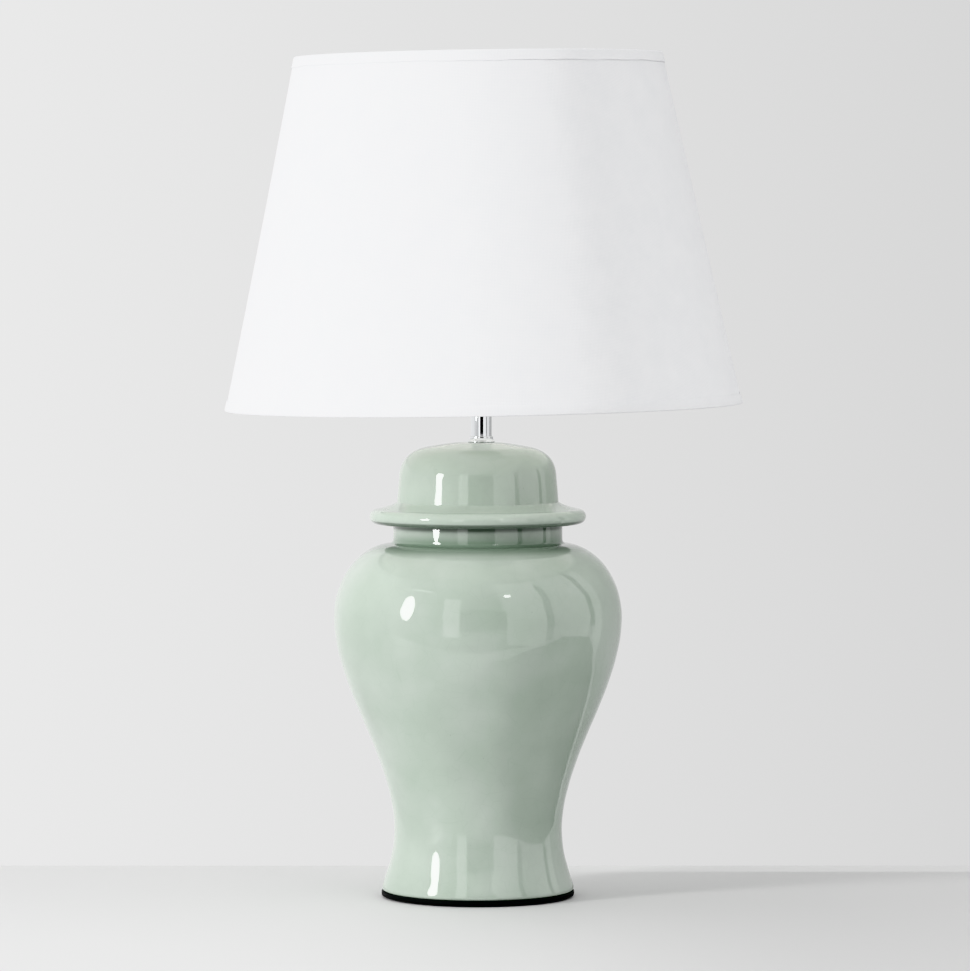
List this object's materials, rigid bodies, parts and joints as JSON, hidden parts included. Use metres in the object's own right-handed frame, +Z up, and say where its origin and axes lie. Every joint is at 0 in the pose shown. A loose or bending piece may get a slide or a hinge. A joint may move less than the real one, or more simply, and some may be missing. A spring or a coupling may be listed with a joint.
{
  "type": "table lamp with shade",
  "caption": "Ceramic jar table lamp with a flanged domed lid, short metal neck and a tapered fabric drum shade.",
  "frame": {"origin": "centre of the felt pad's underside, on the table, on the jar's axis", "axes": "+Z up along the jar's axis, -Y towards the front, +Y towards the cord inlet, +X to the right seen from the front"},
  "size_m": [0.3999, 0.4, 0.6528],
  "materials": {
    "celadon_glaze": "high-gloss celadon glaze with faint crackle",
    "black_lacquer": "matte black lacquer",
    "black_felt": "felt",
    "black_rubber": "matte rubber",
    "zinc_steel": "zinc plated",
    "chrome_plate": "polished chrome",
    "nickel_plate": "bright nickel",
    "brass": "pressed brass",
    "white_plastic": "moulded thermoplastic",
    "porcelain": "unglazed porcelain",
    "shade_fabric": "white plain-weave fabric",
    "shade_styrene": "white hardback sheet",
    "white_enamel": "white powder coat",
    "opal_plastic": "opal diffuser",
    "black_glass": "black vitrite",
    "solder": "solder"
  },
  "bodies": {
    "lamp": {"felt_pad": "black_felt", "base_disc": "black_lacquer", "cord_inlet": "black_rubber", "ceramic_foot": "celadon_glaze", "ceramic_body": "celadon_glaze", "ceramic_shoulder": "celadon_glaze", "ceramic_neck": "celadon_glaze", "ceramic_lid": "celadon_glaze", "rubber_cushion": "black_rubber", "steel_washer": "zinc_steel", "rod_nut": "zinc_steel", "threaded_rod": "zinc_steel", "neck_collar": "chrome_plate", "neck_tube": "chrome_plate", "holder_cap": "white_plastic", "holder_lock_screw": "zinc_steel", "holder_body": "white_plastic", "holder_insulator": "porcelain", "terminal_screw_1": "brass", "terminal_screw_2": "brass", "screw_shell": "nickel_plate", "centre_contact": "brass"},
    "shade": {"fitter_ring": "white_enamel", "spider_arm_1": "white_enamel", "spider_arm_2": "white_enamel", "spider_arm_3": "white_enamel", "bottom_wire_ring": "white_enamel", "top_wire_ring": "white_enamel", "shade_cover": "shade_fabric", "shade_liner": "shade_styrene", "bottom_hem": "shade_fabric", "top_hem": "shade_fabric"},
    "slip_washer": {"slip_washer": "white_plastic"},
    "shade_ring": {"shade_ring": "white_plastic"},
    "bulb_tip": {"bulb_tip": "solder"},
    "bulb": {"bulb_insulator": "black_glass", "bulb_cap": "nickel_plate", "bulb_body": "white_plastic", "led_board": "white_enamel", "bulb_diffuser": "opal_plastic"},
    "switch_bar": {"switch_bar": "white_plastic"}
  },
  "joints": [
    {"name": "shade_swivel", "type": "hinge", "parent": "lamp", "child": "shade", "pos_m": [0.0026, 0, 0.4155], "axis": [0, 0, 1], "continuous": true},
    {"name": "ring_rise", "type": "slide", "parent": "lamp", "child": "slip_washer", "axis": [0, 0, 1], "range_m": [0, 0.01001]},
    {"name": "ring_turn", "type": "hinge", "parent": "slip_washer", "child": "shade_ring", "pos_m": [0.0026, 0, 0.4219], "axis": [0, 0, 1], "range_deg": [0, 1440]},
    {"name": "bulb_rise", "type": "slide", "parent": "lamp", "child": "bulb_tip", "axis": [0, 0, 1], "range_m": [0, 0.02542]},
    {"name": "bulb_turn", "type": "hinge", "parent": "bulb_tip", "child": "bulb", "pos_m": [0.0026, 0, 0.4195], "axis": [0, 0, 1], "range_deg": [0, 2520]},
    {"name": "switch_push", "type": "slide", "parent": "lamp", "child": "switch_bar", "axis": [1, 0, 0], "range_m": [0, 0.006]}
  ],
  "couplings": [
    {"joint": "ring_rise", "follows": "ring_turn", "m_per_rad": 0.00039789},
    {"joint": "bulb_rise", "follows": "bulb_turn", "m_per_rad": 0.00057757}
  ]
}
